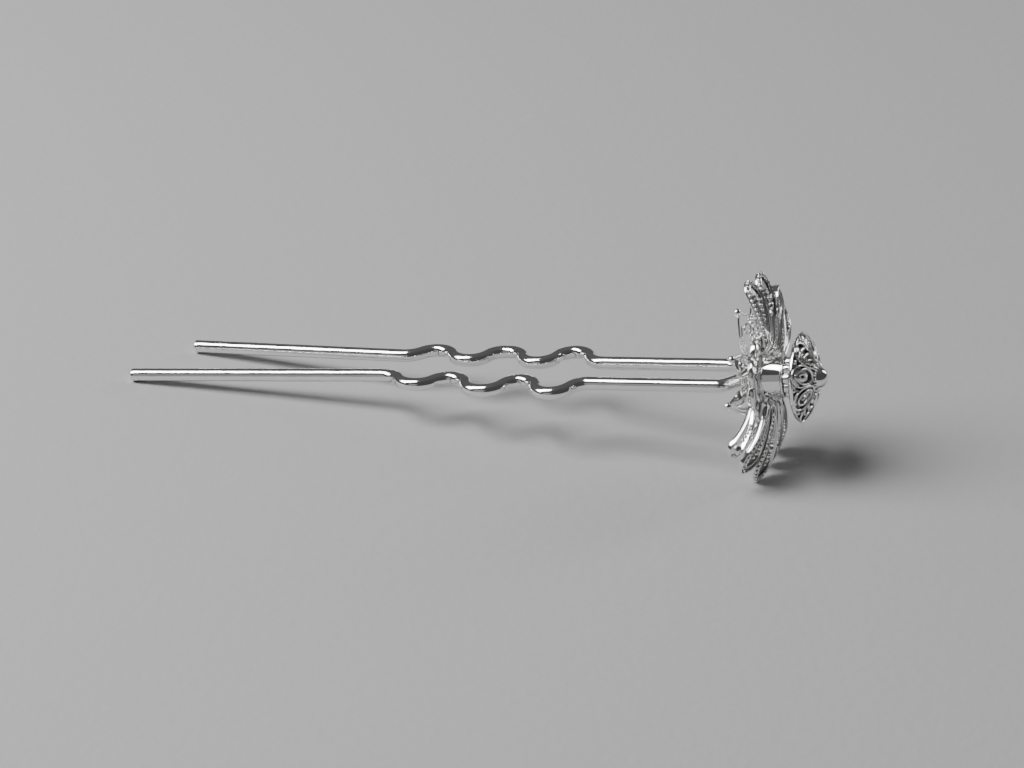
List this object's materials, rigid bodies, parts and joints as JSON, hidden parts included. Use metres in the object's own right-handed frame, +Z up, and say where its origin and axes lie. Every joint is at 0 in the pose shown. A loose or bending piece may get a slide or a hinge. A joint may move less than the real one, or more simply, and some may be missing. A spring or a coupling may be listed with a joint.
{
  "type": "hairpin",
  "caption": "Two-legged hairpin of polished round wire with kinked legs, carrying a pierced filigree flower head with a raised rosette and a ball at its centre.",
  "frame": {"origin": "centre of the bounding box's lower face, on the surface that the hairpin lies on", "axes": "+X from the leg tips towards the flower, +Y towards the far leg, +Z up"},
  "size_m": [0.0814, 0.0192, 0.0211],
  "materials": {
    "wire": "bright silver plate on round wire, polished, with faint drawing marks",
    "sheet": "bright silver plate on sheet and tube, polished",
    "filigree": "bright silver plate on pierced and beaded filigree, darker in its hollows",
    "leaf": "bright silver plate on beaded wire loops, darker in its hollows",
    "ball": "mirror-polished silver plate"
  },
  "bodies": {
    "root": {"pin": "wire", "base_plate": "sheet", "post": "sheet", "collar": "sheet", "rosette": "filigree", "ball": "ball", "petal_1": "filigree", "petal_2": "filigree", "petal_3": "filigree", "petal_4": "filigree", "petal_5": "filigree", "petal_6": "filigree", "petal_7": "filigree", "petal_8": "filigree", "leaf_1": "leaf", "leaf_2": "leaf", "leaf_3": "leaf", "leaf_4": "leaf", "leaf_5": "leaf", "leaf_6": "leaf", "leaf_7": "leaf", "leaf_8": "leaf", "leaf_9": "leaf"}
  },
  "joints": []
}
